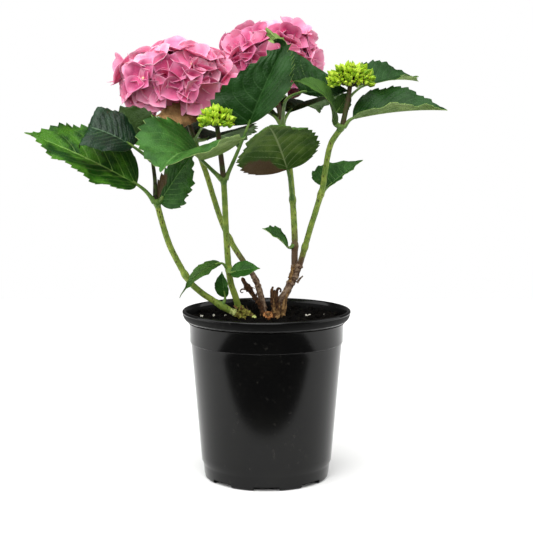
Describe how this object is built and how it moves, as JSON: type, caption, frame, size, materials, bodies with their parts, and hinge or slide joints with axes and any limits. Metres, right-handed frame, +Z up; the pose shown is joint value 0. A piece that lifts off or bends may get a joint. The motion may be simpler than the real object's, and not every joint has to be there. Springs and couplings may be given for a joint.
{
  "type": "potted hydrangea",
  "caption": "Young mophead hydrangea in a round nursery pot, with pink flower heads, green bud heads and broad toothed leaves on bare stems.",
  "frame": {"origin": "middle of the pot's flat underside", "axes": "+Z up along the pot's axis, +X to the right of the front view, +Y to the back"},
  "size_m": [0.4024, 0.269, 0.4614],
  "materials": {
    "pot_plastic": "satin black",
    "potting_mix": "dark moist composted bark",
    "bark": "rough",
    "green_stem": "smooth",
    "leaf": "satin",
    "pink_petal": "matte",
    "green_bud": "matte"
  },
  "bodies": {
    "root": {"pot": "pot_plastic", "soil": "potting_mix", "crown": "bark", "crown_left": "bark", "stem_left": "green_stem", "stem_front": "green_stem", "stem_back": "green_stem", "stem_middle": "green_stem", "stem_right": "green_stem", "leaves_left": "leaf", "leaves_front": "leaf", "leaves_back": "leaf", "leaves_middle": "leaf", "leaves_right": "leaf", "leaf_middle": "leaf", "leaf_middle_low": "leaf", "leaf_right_low": "leaf", "leaves_front_low": "leaf", "leaf_left_low": "leaf", "bloom_left": "pink_petal", "bloom_right": "pink_petal", "bud_front": "green_bud", "bud_right": "green_bud"}
  },
  "joints": []
}
